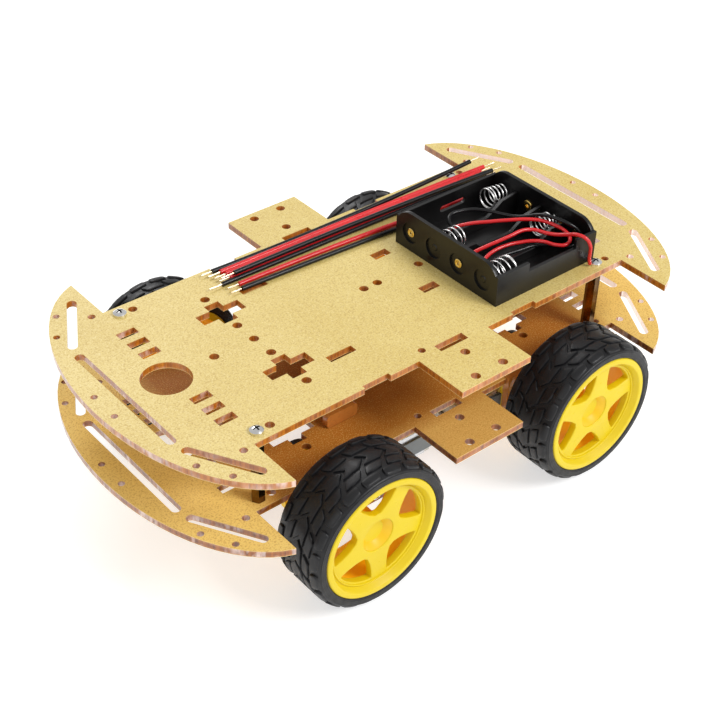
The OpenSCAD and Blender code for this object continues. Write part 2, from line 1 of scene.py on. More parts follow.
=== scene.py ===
import math
import random

import bmesh
import bpy
from mathutils import Matrix, Vector


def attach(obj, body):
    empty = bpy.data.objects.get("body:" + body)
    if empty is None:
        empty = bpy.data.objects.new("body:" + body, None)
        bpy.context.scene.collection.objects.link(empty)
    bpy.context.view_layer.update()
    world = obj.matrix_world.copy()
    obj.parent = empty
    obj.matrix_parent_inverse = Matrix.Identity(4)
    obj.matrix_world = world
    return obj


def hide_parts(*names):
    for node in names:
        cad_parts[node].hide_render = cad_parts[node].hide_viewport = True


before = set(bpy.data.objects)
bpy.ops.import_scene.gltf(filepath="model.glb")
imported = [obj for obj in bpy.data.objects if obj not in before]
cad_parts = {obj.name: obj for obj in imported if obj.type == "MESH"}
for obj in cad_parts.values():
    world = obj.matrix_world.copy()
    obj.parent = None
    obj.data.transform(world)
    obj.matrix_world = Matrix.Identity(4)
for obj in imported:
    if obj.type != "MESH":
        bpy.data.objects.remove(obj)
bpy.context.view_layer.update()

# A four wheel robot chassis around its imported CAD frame. +X points to the battery box end and +Z
# up. Lengths are in millimetres until an object is made, and in metres inside materials.

MM = 0.001
# each corner's side of the middle, as signs of X and Y
CORNERS = {"front_left": (-1, -1), "front_right": (-1, 1),
           "rear_left": (1, -1), "rear_right": (1, 1)}
AXLE_X, AXLE_Z = 59.5, 32.5
GEARBOX_Y = 39.6
DECK_T = 3.0
LOW_Z = 43.8  # underside of the bottom deck
HIGH_Z = 76.8  # underside of the top deck
DECK_TOP_Z = 79.8  # upper face of the top deck, on which the box and the wires lie

# ---- camera ----

CAMERA_TURN = (-40.75, 37.49, 1.701)  # azimuth, elevation and roll in degrees
CAMERA_PLACE = (-0.323484, -0.370131, 0.418021)  # in metres
CAMERA_LENS, CAMERA_SENSOR = 72.36, 36
CAMERA_CLIP = (0.01, 50)


def make_camera():
    """The photograph's view: a camera turned about the chassis, with a small roll."""
    azimuth, elevation, roll = (math.radians(v) for v in CAMERA_TURN)
    back = Vector((math.sin(azimuth) * math.cos(elevation),
                   -math.cos(azimuth) * math.cos(elevation), math.sin(elevation)))
    level = Vector((math.cos(azimuth), math.sin(azimuth), 0))
    rise = back.cross(level)
    right = level * math.cos(roll) + rise * math.sin(roll)
    up = rise * math.cos(roll) - level * math.sin(roll)
    data = bpy.data.cameras.new("camera")
    data.lens = CAMERA_LENS
    data.sensor_width = CAMERA_SENSOR
    data.clip_start, data.clip_end = CAMERA_CLIP
    camera = bpy.data.objects.new("camera", data)
    bpy.context.collection.objects.link(camera)
    turn = Matrix((right, up, back)).transposed().to_4x4()
    camera.matrix_world = Matrix.Translation(CAMERA_PLACE) @ turn
    bpy.context.scene.camera = camera


make_camera()

# ---- material helpers ----


class Shader:
    """A Principled material and the few node steps that the materials below are built from."""

    def __init__(self, name):
        self.material = bpy.data.materials.new(name)
        self.material.use_nodes = True
        self.tree = self.material.node_tree
        self.bsdf = self.tree.nodes["Principled BSDF"]
        self.coords = self.tree.nodes.new("ShaderNodeTexCoord").outputs["Object"]

    def set(self, **values):
        """Puts a constant, a colour or another node's output on each named input."""
        for key, value in values.items():
            socket = self.bsdf.inputs[key.replace("_", " ")]
            if isinstance(value, bpy.types.NodeSocket):
                self.tree.links.new(value, socket)
            else:
                socket.default_value = (*value, 1) if isinstance(value, tuple) else value
        return self

    def _node(self, kind, inputs, **settings):
        """A new node with its settings, and a constant or another node's output on each input."""
        node = self.tree.nodes.new(kind)
        for key, value in settings.items():
            setattr(node, key, value)
        for key, value in inputs.items():
            if isinstance(value, bpy.types.NodeSocket):
                self.tree.links.new(value, node.inputs[key])
            else:
                node.inputs[key].default_value = value
        return node

    def stretched(self, x, y, z):
        """Object coordinates scaled along each axis, for streaks."""
        node = self._node("ShaderNodeMapping", {"Vector": self.coords, "Scale": (x, y, z)})
        return node.outputs["Vector"]

    def noise(self, scale, detail, vector=None):
        """Noise from 0 to 1 in object coordinates, or in those of the vector."""
        node = self._node("ShaderNodeTexNoise", {"Vector": vector or self.coords, "Scale": scale,
                                                 "Detail": detail})
        return node.outputs["Fac"]

    def span(self, value, low, high, to_low=0.0, to_high=1.0):
        """The value's range from low to high carried to a new range, clamped."""
        node = self._node("ShaderNodeMapRange", {"Value": value, "From Min": low, "From Max": high,
                                                 "To Min": to_low, "To Max": to_high})
        return node.outputs["Result"]

    def math(self, operation, a, b=0.0):
        return self._node("ShaderNodeMath", {0: a, 1: b}, operation=operation).outputs[0]

    def mix(self, factor, a, b):
        """A colour between a and b, each a linear colour or another node's output."""
        a, b = ((*c, 1) if isinstance(c, tuple) else c for c in (a, b))
        node = self._node("ShaderNodeMix", {0: factor, 6: a, 7: b}, data_type="RGBA")
        return node.outputs[2]

    def along(self, axis):
        node = self._node("ShaderNodeSeparateXYZ", {"Vector": self.coords})
        return node.outputs[axis]

    def off_middle(self, axis):
        return self.math("ABSOLUTE", self.along(axis))

    def bump(self, height, strength, distance):
        """Surface relief from a height; distance is in metres."""
        node = self._node("ShaderNodeBump", {"Height": height, "Strength": strength,
                                             "Distance": distance})
        self.set(Normal=node.outputs["Normal"])
        return self


def srgb(r, g, b):
    """A colour given in display values from 0 to 255, as linear light."""
    return tuple((v / 255 / 12.92) if v < 10.3 else ((v / 255 + 0.055) / 1.055) ** 2.4
                 for v in (r, g, b))


# colour of the painted amber glow given to yellow plastic
AMBER_LIGHT = srgb(255, 176, 0)


def moulded(name, colour, shade, rough, grain=900, relief=0.05, coat=0.0, shine=0.5, glow=0.0):
    """Moulded plastic: colour drifts between two tones, with a fine grain and uneven gloss.
    A faint amber glow is painted light: it stands for light carried through translucent yellow
    plastic."""
    s = Shader(name)
    s.set(Base_Color=s.mix(s.span(s.noise(40, 3), 0.3, 0.7), colour, shade),
          Roughness=s.span(s.noise(120, 4), 0.3, 0.7, rough - 0.06, rough + 0.08),
          Coat_Weight=coat, Coat_Roughness=0.12, Specular_IOR_Level=shine,
          Emission_Color=AMBER_LIGHT, Emission_Strength=glow)
    return s.bump(s.noise(grain, 2), relief, 0.0003).material


def metal(name, colour, shade, rough, brushed=(1, 1, 1)):
    """Metal with slight staining, uneven gloss and fine scratches drawn along one direction."""
    s = Shader(name)
    grain = s.stretched(*brushed)
    s.set(Base_Color=s.mix(s.span(s.noise(180, 3), 0.35, 0.7), colour, shade), Metallic=1.0,
          Roughness=s.span(s.noise(500, 3, grain), 0.3, 0.7, rough * 0.7, rough * 1.5))
    return s.bump(s.noise(900, 2, grain), 0.04, 0.0002).material


# distances from the middle, in metres, over which the decks come out of each other's shade
PAST_ENDS = (0.084, 0.098)
PAST_SIDES = (0.044, 0.056)
OVERHANG = (0.086, 0.1)


def paper(name, tan, shade, dark_fleck, light_fleck, amber=None):
    """Speckled tan protective paper on the faces of the acrylic. When amber tones are given, the
    paper where the two decks face each other takes them: painted shade, amber as the light bounced
    between the decks."""
    s = Shader(name)
    if amber:
        lengthwise = s.span(s.off_middle("X"), *PAST_ENDS)
        across = s.span(s.off_middle("Y"), *PAST_SIDES, 0.0, 0.45)
        open_air = s.math("MAXIMUM", lengthwise, across)
        tan, shade = (s.mix(open_air, deep, tone) for deep, tone in zip(amber, (tan, shade)))
    fleck = s.noise(1500, 3)
    base = s.mix(s.span(s.noise(22, 3), 0.35, 0.65), tan, shade)
    dark = s.mix(s.span(fleck, 0.48, 0.70, 0.0, 0.62), base, dark_fleck)
    light = s.mix(s.span(s.noise(1900, 3), 0.52, 0.72, 0.0, 0.6), dark, light_fleck)
    s.set(Base_Color=light, Roughness=s.span(fleck, 0.3, 0.7, 0.42, 0.58),
          Coat_Weight=0.0 if amber else 0.12, Coat_Roughness=0.35,
          Specular_IOR_Level=0.15 if amber else 0.5)
    return s.bump(s.noise(2200, 3), 0.12, 0.0002).material


def amber_edge(name, low, deep, pale, warmth=0.4, glow=0.0):
    """Laser cut edge of the acrylic between its two papers: amber, glossy, finely striped. Low is
    the height of the deck's underside. Only the overhanging ends get painted glints, streaky
    patches of near white, and glow gives a painted glow of the pale tone."""
    s = Shader(name)
    stripes = s.noise(1.0, 3, s.stretched(900, 900, 30))
    depth = s.math("ABSOLUTE", s.math("SUBTRACT", s.along("Z"), (low + DECK_T / 2) * MM))
    core = s.mix(s.span(stripes, 0.35, 0.65), deep, pale)
    warm = s.mix(s.span(depth, 0.0003, 0.0014, 0.0, warmth), core, srgb(204, 136, 62))
    # painted glints: near white streaky patches, strongest on the overhanging ends
    overhang = s.span(s.off_middle("X"), *OVERHANG, 0.12, 1.0)
    streaks = s.span(s.noise(1.0, 3, s.stretched(420, 420, 140)), 0.40, 0.62)
    patches = s.math("MULTIPLY", s.span(s.noise(85, 2), 0.42, 0.58), streaks)
    glint = s.math("MULTIPLY", patches, overhang)
    lit = s.mix(s.math("MULTIPLY", glint, 0.6), warm, srgb(254, 238, 232))
    papered = s.span(depth, 0.00128, 0.00136)
    coat = s.span(s.off_middle("X"), *OVERHANG, 0.2, 0.7)
    s.set(Base_Color=s.mix(papered, lit, srgb(226, 196, 128)), Roughness=0.3, Coat_Weight=coat,
          Coat_Roughness=0.08, Emission_Color=pale, Emission_Strength=glow)
    return s.bump(stripes, 0.25, 0.0001).material


def amber_bracket():
    """Amber acrylic bracket: paper on the broad faces shows as a duller tone with scuffs."""
    s = Shader("amber_bracket")
    tone = s.mix(s.span(s.noise(60, 3), 0.3, 0.7), srgb(176, 104, 40), srgb(206, 134, 58))
    fleck = s.mix(s.span(s.noise(700, 3), 0.55, 0.75, 0.0, 0.5), tone, srgb(140, 76, 26))
    s.set(Base_Color=fleck, Roughness=0.28, Coat_Weight=0.6, Coat_Roughness=0.1)
    return s.bump(s.noise(1100, 2), 0.06, 0.0002).material


def rubber():
    """Tyre rubber: near black, faintly bluish, with a dusty bloom and mould grain."""
    s = Shader("tyre_rubber")
    dust = s.span(s.noise(160, 4), 0.48, 0.75, 0.0, 0.5)
    s.set(Base_Color=s.mix(dust, srgb(6, 6, 9), srgb(15, 16, 21)),
          Roughness=s.span(s.noise(300, 3), 0.3, 0.7, 0.36, 0.54), Specular_IOR_Level=0.45)
    return s.bump(s.noise(1300, 3), 0.12, 0.0002).material


def clear_strap():
    """Milky flexible plastic."""
    s = Shader("strap_plastic")
    s.set(Base_Color=s.mix(s.noise(120, 2), srgb(120, 128, 130), srgb(98, 106, 110)),
          Roughness=0.3, Coat_Weight=0.4, Coat_Roughness=0.1)
    return s.bump(s.noise(400, 2), 0.05, 0.0003).material


PAPER = paper("paper_top", srgb(216, 193, 118), srgb(208, 183, 104), srgb(168, 132, 58),
              srgb(232, 216, 160))
# Paper for the top deck's underside and both faces of the bottom deck. Its tan is lighter than on
# the top face, painted light for the top deck's shade, and its amber tones are painted shade
# between the decks.
PAPER_PAINTED_LIGHT_AND_SHADE = paper("paper_low_painted_light_and_shade", srgb(240, 207, 122), srgb(232, 196, 108), srgb(176, 122, 48),
                   srgb(240, 206, 120), amber=(srgb(184, 116, 40), srgb(172, 104, 32)))
# The lower deck's edges take darker tones than the top deck's: painted shade under the top deck.
EDGE = {"top_deck": amber_edge("cut_edge_top", HIGH_Z, srgb(150, 80, 18), srgb(196, 118, 34)),
        "bottom_deck": amber_edge("cut_edge_low_painted_shade", LOW_Z, srgb(112, 54, 14), srgb(168, 96, 34))}
# Inward cut edges at the rear end: near white with a glow, painted light through the sheet.
LIT_EDGE = {name: amber_edge(f"{name}_lit_edge", low, srgb(236, 214, 202), srgb(255, 246, 240),
                             0.15, 0.32)
            for name, low in (("top_deck", HIGH_Z), ("bottom_deck", LOW_Z))}
AMBER = amber_bracket()
RUBBER = rubber()
# The rim yellows carry a painted amber glow. The orange yellow inside the drum and the one on the
# cup's sloping wall are painted shade.
YELLOW = moulded("rim_yellow", srgb(212, 192, 1), srgb(206, 184, 1), 0.46, relief=0.04, glow=0.08)
YELLOW_PAINTED_INNER_SHADE = moulded("rim_inner_painted_shade", srgb(252, 196, 8), srgb(246, 184, 5), 0.42, relief=0.04,
                      glow=0.07)
YELLOW_PAINTED_CUP_SHADE = moulded("rim_cup_painted_shade", srgb(222, 184, 4), srgb(214, 176, 3), 0.42, relief=0.04,
                     glow=0.1)
CASE = moulded("case_yellow", srgb(244, 205, 22), srgb(234, 190, 12), 0.42, relief=0.05)
WHITE_GEAR = moulded("nylon", srgb(238, 236, 226), srgb(226, 222, 208), 0.4)
ENCODER = moulded("encoder_black", srgb(34, 34, 36), srgb(24, 24, 26), 0.5)
STEEL = metal("can_steel", (0.70, 0.71, 0.73), (0.58, 0.59, 0.61), 0.26, (0.1, 1, 1))
CHROME = metal("nickel", (0.96, 0.96, 0.95), (0.80, 0.79, 0.78), 0.2)
# dark steel for the screws' cross recesses: painted shade
RECESS_PAINTED_SHADE = metal("recess_painted_shade", (0.10, 0.10, 0.11), (0.05, 0.05, 0.05), 0.5)
PIN = metal("ground_steel", (0.60, 0.61, 0.63), (0.50, 0.50, 0.52), 0.3, (1, 0.1, 1))
SPACER = metal("dark_brass", srgb(128, 98, 56), srgb(72, 50, 26), 0.16, (1, 1, 0.1))
CAP = moulded("cap_nylon", srgb(232, 230, 222), srgb(216, 214, 204), 0.5)
STRAP = clear_strap()
BOX = moulded("box_plastic", srgb(17, 16, 16), srgb(12, 11, 12), 0.34, grain=1600, relief=0.04,
              shine=0.4)
SPRING = metal("spring_wire", (0.97, 0.97, 0.96), (0.88, 0.87, 0.86), 0.3)
BRASS = metal("contact_brass", srgb(250, 222, 140), srgb(226, 188, 96), 0.22)
TIN = metal("tinned_strands", srgb(240, 228, 208), srgb(222, 200, 168), 0.32)
RED = moulded("red_insulation", srgb(220, 34, 38), srgb(202, 24, 30), 0.3, grain=500, relief=0.06,
              coat=0.2)
BLACK = moulded("black_insulation", srgb(17, 17, 19), srgb(11, 11, 13), 0.3, grain=500,
                relief=0.06, coat=0.1, shine=0.3)

# ---- mesh helpers ----

WELD = 1e-4  # points closer than this are made one
SLIVER = 1e-7  # in metres; shorter edges are dissolved
SMALL_HOLE = 28  # most sides of an opening that is closed: under tread blocks and pips


def full_turn(steps):
    """That many angles spread over a full turn."""
    return [2 * math.pi * k / steps for k in range(steps)]


def ring_of(radius, steps):
    """That many (x, y) points on a circle about the origin."""
    return [(radius * math.cos(a), radius * math.sin(a)) for a in full_turn(steps)]


class Build:
    """Collects points and faces of one piece."""

    def __init__(self):
        self.points = []
        self.faces = []

    def add(self, points, faces):
        """Adds points, and faces that count from the first of them."""
        start = len(self.points)
        self.points += [tuple(p) for p in points]
        self.faces += [tuple(start + i for i in f) for f in faces]

    def loop_strip(self, rings, closed_ring=True, capped=False):
        """Faces between rings of equally many points, and over both ends when capped."""
        n = len(rings[0])
        faces = []
        for r in range(len(rings) - 1):
            for k in range(n if closed_ring else n - 1):
                j = (k + 1) % n
                faces.append((r * n + k, r * n + j, (r + 1) * n + j, (r + 1) * n + k))
        if capped:
            faces.append(tuple(reversed(range(n))))
            faces.append(tuple((len(rings) - 1) * n + k for k in range(n)))
        self.add([p for ring in rings for p in ring], faces)

    def tube(self, route, radius, sides):
        """A round rod along a route, its section carried along without twisting."""
        pts = [Vector(p) for p in route]
        side = None
        rings = []
        for i, p in enumerate(pts):
            t = (pts[min(i + 1, len(pts) - 1)] - pts[max(i - 1, 0)]).normalized()
            if side is None:
                side = t.orthogonal().normalized()
            side = (side - t * side.dot(t)).normalized()
            up = t.cross(side)
            rings.append([p + radius * (math.cos(a) * side + math.sin(a) * up)
                          for a in full_turn(sides)])
        self.loop_strip(rings, capped=True)

    def lathe(self, profile, place, steps, closed=True):
        """Turns a profile of (radius, distance) about an axis; place(radius, angle, distance)
        gives the point, and a closed profile runs back to its first one."""
        rows = profile + profile[:1] if closed else profile
        self.loop_strip([[place(r, a, d) for a in full_turn(steps)] for r, d in rows])

    def object(self, name, material, place=None, angle=35.0):
        """The finished piece in metres; place maps each point, faces turn to look outward, and
        edges sharper than the angle in degrees stay crisp."""
        points = [place(p) for p in self.points] if place else self.points
        mesh = bpy.data.meshes.new(name)
        mesh.from_pydata([tuple(c * MM for c in p) for p in points], [], self.faces)
        work = bmesh.new()
        work.from_mesh(mesh)
        bmesh.ops.remove_doubles(work, verts=work.verts, dist=WELD * MM)
        bmesh.ops.dissolve_degenerate(work, edges=work.edges, dist=SLIVER)
        bmesh.ops.holes_fill(work, edges=work.edges, sides=SMALL_HOLE)
        bmesh.ops.recalc_face_normals(work, faces=work.faces)
        limit = math.radians(angle)
        for face in work.faces:
            face.smooth = True
        for edge in work.edges:
            edge.smooth = len(edge.link_faces) == 2 and edge.calc_face_angle(0) < limit
        work.to_mesh(mesh)
        work.free()
        mesh.materials.append(material)
        obj = bpy.data.objects.new(name, mesh)
        bpy.context.collection.objects.link(obj)
        return obj


def place_piece(obj, body, slot, *nodes):
    """Puts a piece on its body, standing for those CAD nodes, which it hides; the slot is not
    used.
    """
    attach(obj, body)
    if nodes:
        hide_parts(*nodes)
    return obj


# ---- cords ----

WIRE_D = 2.1
LEAD_D = 1.6
WIRE_Z = DECK_TOP_Z + WIRE_D / 2 + 0.05
STRANDS = 7
STRAND_R = 0.1
STRAND_ROOT = 1.0  # how far the strands start inside the insulation
STRAND_STEPS = 8


def curve_piece(name, points, diameter, material, smooth):
    """A round cord on one open spline through the points, curved between them when smooth."""
    data = bpy.data.curves.new(name, "CURVE")
    data.dimensions = "3D"
    data.bevel_depth = diameter / 2 * MM
    data.bevel_resolution = 4
    data.resolution_u = 6
    data.use_fill_caps = True
    if smooth:
        spline = data.splines.new("BEZIER")
        spline.bezier_points.add(len(points) - 1)
        for point, p in zip(spline.bezier_points, points):
            point.co = [c * MM for c in p]
            point.handle_left_type = point.handle_right_type = "AUTO"
    else:
        spline = data.splines.new("POLY")
        spline.points.add(len(points) - 1)
        for point, p in zip(spline.points, points):
            point.co = (*[c * MM for c in p], 1)
    data.materials.append(material)
    obj = bpy.data.objects.new(name, data)
    bpy.context.collection.objects.link(obj)
    return obj


def end_of(points):
    """The last point and the direction in which the line arrives there."""
    return points[-1], Vector(points[-1]) - Vector(points[-2])


def bare_end(build, tip, along, rng):
    """A short bundle of twisted tinned strands past the end of the insulation."""
    along = Vector(along).normalized()
    side = along.orthogonal().normalized()
    up = along.cross(side)
    length = 6.2 + 1.4 * rng.random()
    bend = 0.5 * (rng.random() - 0.5)
    for k in range(STRANDS):  # one in the middle and six about it, fanning out a little
        offset = 0.0 if k == 0 else 2 * STRAND_R
        route = []
        for i in range(STRAND_STEPS + 1):
            u = i / STRAND_STEPS
            angle = math.pi / 3 * k + 2.6 * u
            spread = offset * (1 + 0.25 * u * u)
            route.append(Vector(tip) + along * (length * u - STRAND_ROOT)
                         + side * (spread * math.cos(angle))
                         + up * (spread * math.sin(angle) + bend * u * u))
        build.tube(route, STRAND_R, 6)


def lead_end(name, ends):
    """The bare ends of one cord as one piece."""
    build = Build()
    rng = random.Random(name)
    for tip, along in ends:
        bare_end(build, tip, along, rng)
    return place_piece(build.object(name, TIN), "chassis", "wire_insulation")


# For each CAD node two wires: label, first and last x, then y and the lift in wire diameters,
# each at the first x, at WIRE_MID and at the last x.
WIRE_MID = 40
WIRE_STEPS = 16
NO_LIFT = (0, 0, 0)
MOTOR_WIRES = [
    (("red_1", -44, 103, (44.4, 42.9, 41), NO_LIFT),
     ("black_1", -46.5, 98, (46.8, 45.8, 45.2), (0, 0, 1.26))),
    (("red_2", -43, 99, (42, 40.7, 38.8), NO_LIFT),
     ("red_3", -43, 97, (39.2, 38, 36.6), NO_LIFT)),
    (("black_2", -48.5, 98, (36.6, 35.2, 34.4), NO_LIFT),
     ("black_3", -41.5, 101, (37.9, 36.2, 33.4), (1, 1.1, 1.1))),
    (("red_4", -43, 96, (32.6, 28.4, 23.2), NO_LIFT),
     ("black_4", -44, 99, (29.2, 24.8, 20.6), NO_LIFT)),
]


def through_three(a, b, c, x):
    """The value at x of the parabola through three (x, value) pairs."""
    return (a[1] * (x - b[0]) * (x - c[0]) / ((a[0] - b[0]) * (a[0] - c[0]))
            + b[1] * (x - a[0]) * (x - c[0]) / ((b[0] - a[0]) * (b[0] - c[0]))
            + c[1] * (x - a[0]) * (x - b[0]) / ((c[0] - a[0]) * (c[0] - b[0])))


def motor_wire(node, label, x0, x1, y, lift):
    """A loose wire on the top deck, bare at both ends."""
    xs = (x0, WIRE_MID, x1)
    route = []
    for i in range(WIRE_STEPS + 1):
        x = x0 + (x1 - x0) * i / WIRE_STEPS
        route.append((x, through_three(*zip(xs, y), x),
                      WIRE_Z + WIRE_D * through_three(*zip(xs, lift), x)))
    name = f"motor_wire_{label}"
    obj = curve_piece(name, route, WIRE_D, RED if label.startswith("red") else BLACK, False)
    ends = lead_end(f"{name}_ends", [end_of(route[::-1]), end_of(route)])
    place_piece(obj, "chassis", "wire_insulation", f"motor_wires_{node}")


# points of each lead, z over the top deck's face, from the contact in the box to the bare end
RED_LEAD = [(41.8, 3.6, 7), (46.6, 1.8, 9), (52, -2.8, 11.4), (58.2, -8.4, 12.8),
            (64.4, -13.6, 13.8), (70.4, -18.6, 14.4), (74.4, -23.4, 14.6), (77, -28.2, 13.8),
            (79, -32.4, 12.4), (78.4, -36.4, 11), (74.6, -38.2, 10.2), (71.2, -35.4, 9.8),
            (69.4, -30.6, 9.6), (66.4, -26.6, 9.2), (61.6, -23.6, 8.8), (55.6, -21.4, 8.4),
            (49, -20.6, 7.6), (42.4, -21.8, 6.4), (37.6, -23.2, 5.4), (33.8, -19.6, 4.6),
            (36.6, -15, 4.8), (41.8, -15.2, 6.6), (47.6, -17, 8.6), (53.6, -19.2, 10.4),
            (59.4, -20.8, 11.8), (65, -21.8, 12.6), (69.4, -24.4, 12.4), (71.8, -29, 12.2),
            (74, -33.4, 12.8), (75.8, -37.4, 14.2), (77, -41.4, 15.6), (78.4, -45, 15),
            (79.8, -46.6, 11.8), (80.6, -46.4, 8), (81.4, -45.8, 4.4), (82.4, -45.6, 1.2)]
BLACK_LEAD = [(45.8, -2.6, 6.8), (45.4, 0.4, 10.2), (46.2, 3.7, 12), (48.8, 5.6, 12.8),
              (53.4, 5, 13.2), (58.6, 2.4, 13.4), (63.2, -2.2, 13.2), (67, -7.8, 12.8),
              (70, -13, 13.2), (72.4, -17.2, 14.6), (74.4, -21.2, 16.4), (76, -25.4, 17.2),
              (77.6, -29.6, 17), (79.8, -33.4, 16), (82.4, -36.4, 13.6), (83.4, -38, 10.2),
              (80.4, -38.2, 7.4), (75.6, -34.4, 6.8), (72, -29.6, 6.6), (66.6, -26.4, 6.4),
              (60.6, -25.2, 6.2), (54.6, -24.2, 6.2), (48.6, -23.4, 5.8), (43.4, -24.2, 4.4)]


def battery_lead(name, points, material, slot):
    """A limp lead, bare at its far end; length is in metres."""
    route = [(x, y, DECK_TOP_Z + z) for x, y, z in points]
    obj = curve_piece(name, route, LEAD_D, material, True)
    ends = lead_end(f"{name}_end", [end_of(route)])
    place_piece(obj, "chassis", slot, name.replace("_curve", ""))


for node, pair in enumerate(MOTOR_WIRES, 1):
    for wire in pair:
        motor_wire(node, *wire)
battery_lead("battery_lead_red_curve", RED_LEAD, RED, "red_insulation")
battery_lead("battery_lead_black_curve", BLACK_LEAD, BLACK, "black_insulation")

# ---- CAD nodes that keep their shape ----

CAD_WELD = 1e-6  # in metres
CAD_CREASE = math.radians(38)
# Past this the inward cut edges take the painted light of LIT_EDGE.
LIT_EDGE_X = 0.0985  # in metres; past it the cut edges that face inwards are lit


def dress(name, material, bevel=0.0, segments=2):
    """Gives a CAD node its material and, where wanted, edges rounded by bevel."""
    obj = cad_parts[name]
    mesh = obj.data
    mesh.materials.clear()
    mesh.materials.append(material)
    if bevel:
        for attribute in ("custom_normal", "sharp_edge", "sharp_face"):
            if attribute in mesh.attributes:
                mesh.attributes.remove(mesh.attributes[attribute])
        mesh.polygons.foreach_set("use_smooth", [True] * len(mesh.polygons))
        weld = obj.modifiers.new("weld", "WELD")
        weld.merge_threshold = CAD_WELD
        edge = obj.modifiers.new("edge", "BEVEL")
        edge.width = bevel * MM
        edge.segments = segments
        edge.limit_method = "ANGLE"
        edge.angle_limit = CAD_CREASE
        edge.harden_normals = True
    return obj


def square_up(obj):
    """Flat shading on faces square to an axis, smooth shading on the round ones."""
    obj.modifiers["edge"].harden_normals = False
    for polygon in obj.data.polygons:
        polygon.use_smooth = max(abs(v) for v in polygon.normal) < 0.999


def dress_deck(name):
    """Paper on the broad faces, bare amber on every cut edge. At the rear end the edges that
    face inwards are painted near white with a painted glow, standing for the light through the
    sheet."""
    mesh = dress(name, PAPER).data
    for material in (EDGE[name], PAPER_PAINTED_LIGHT_AND_SHADE, LIT_EDGE[name]):  # numbers 1, 2 and 3
        mesh.materials.append(material)
    for polygon in mesh.polygons:
        heights = [mesh.vertices[i].co.z for i in polygon.vertices]
        if max(heights) - min(heights) > 0.5 * MM:
            lit = polygon.center.x > LIT_EDGE_X and polygon.normal.x < -0.5
            polygon.material_index = 3 if lit else 1
        else:
            polygon.material_index = 0 if polygon.normal.z > 0 and name == "top_deck" else 2


def dress_deck_screws():
    """Nickel pan heads with painted shade in their cross recesses, cut to just under 1 mm over the
    deck.
    """
    mesh = dress("deck_screws", CHROME).data
    mesh.materials.append(RECESS_PAINTED_SHADE)
    for polygon in mesh.polygons:
        # height above the deck face that the head stands on
        height = max(polygon.center.z / MM - DECK_TOP_Z, LOW_Z - polygon.center.z / MM)
        # walls and floor of the cross recess get the dark steel of painted shade
        wall = abs(polygon.normal.z) < 0.05 and height > 1.0
        floor = abs(polygon.normal.z) > 0.99 and 0.8 < height < 1.0
        polygon.material_index = 1 if wall or floor else 0


dress_deck("top_deck")
dress_deck("bottom_deck")
dress("deck_spacers", SPACER, 0.15)
dress_deck_screws()
dress("motor_brackets", AMBER, 0.15)
dress("bracket_bolts", CHROME)
dress("bracket_nuts", CHROME)
dress("motor_end_caps", CAP, 0.15)
dress("motor_straps", STRAP, 0.2)
dress("gearbox_screws", CHROME)
dress("gear_pins", PIN)
for corner in CORNERS:
    dress(f"output_gear_{corner}", WHITE_GEAR)
    dress(f"encoder_disc_{corner}", ENCODER, 0.12)
    dress(f"transfer_gear_{corner}", WHITE_GEAR)
    dress(f"crown_gear_{corner}", WHITE_GEAR)
    dress(f"rotor_{corner}", PIN)
    dress(f"gearbox_inner_{corner}", CASE, 0.3)
    dress(f"gearbox_outer_{corner}", CASE, 0.3)
    dress(f"motor_can_{corner}", STEEL, 0.4, 3)
square_up(dress("battery_box", BOX, 0.25))

# ---- wheels, drawn about the axle; y is from the gearbox's middle plane, and -Y is outward ----

WHEEL_FACE_Y = 80.6  # outer and inner plane of a wheel, from the chassis's middle
WHEEL_BACK_Y = 54.6
RIM_FACE = GEARBOX_Y - WHEEL_FACE_Y
RIM_BACK = GEARBOX_Y - WHEEL_BACK_Y
HUB_END = GEARBOX_Y - 49.6
TYRE_MID = (RIM_FACE + RIM_BACK) / 2
TREAD_COUNT = 20
TREAD_PITCH = 360 / TREAD_COUNT
TREAD_R = 32  # about the radius of the blocks' tops
TREAD_ROOT = 0.12  # how far the blocks reach into the carcass
SPOKES = 5
SPOKE_STEP = 360 / SPOKES
SPOKE_TURN = {"front_left": 57, "front_right": 50, "rear_left": 24, "rear_right": 34}
STAR_R = 22.9
STAR_HALF_T, STAR_ROUND = 1.25, 0.5
STAR_MID = 4.75  # depth of the spoke disc's middle plane behind the rim's face
HUB_MOUTH_R = 7.3
PIP_OUT = 14.6


def at_corner(corner):
    """Carries a wheel's point from about its axle to a corner of the chassis."""
    sx, sy = CORNERS[corner]
    return lambda p: (-sx * (p[0] - AXLE_X), -sy * (p[1] - GEARBOX_Y), p[2] + AXLE_Z)


def about_axle(r, a, y):
    return (r * math.cos(a), y, r * math.sin(a))


def carcass_radius(w):
    """Radius of the groove floor at a distance from the tyre's middle plane."""
    w = abs(w)
    return 31.65 if w < 8.5 else 31.65 - 0.85 * ((w - 8.5) / 3.7) ** 2


def crown_radius(w):
    """Radius of the tops of the tread blocks."""
    w = abs(w)
    return 32.48 if w < 8 else 32.48 - 1.15 * ((w - 8) / 4.4) ** 2.2


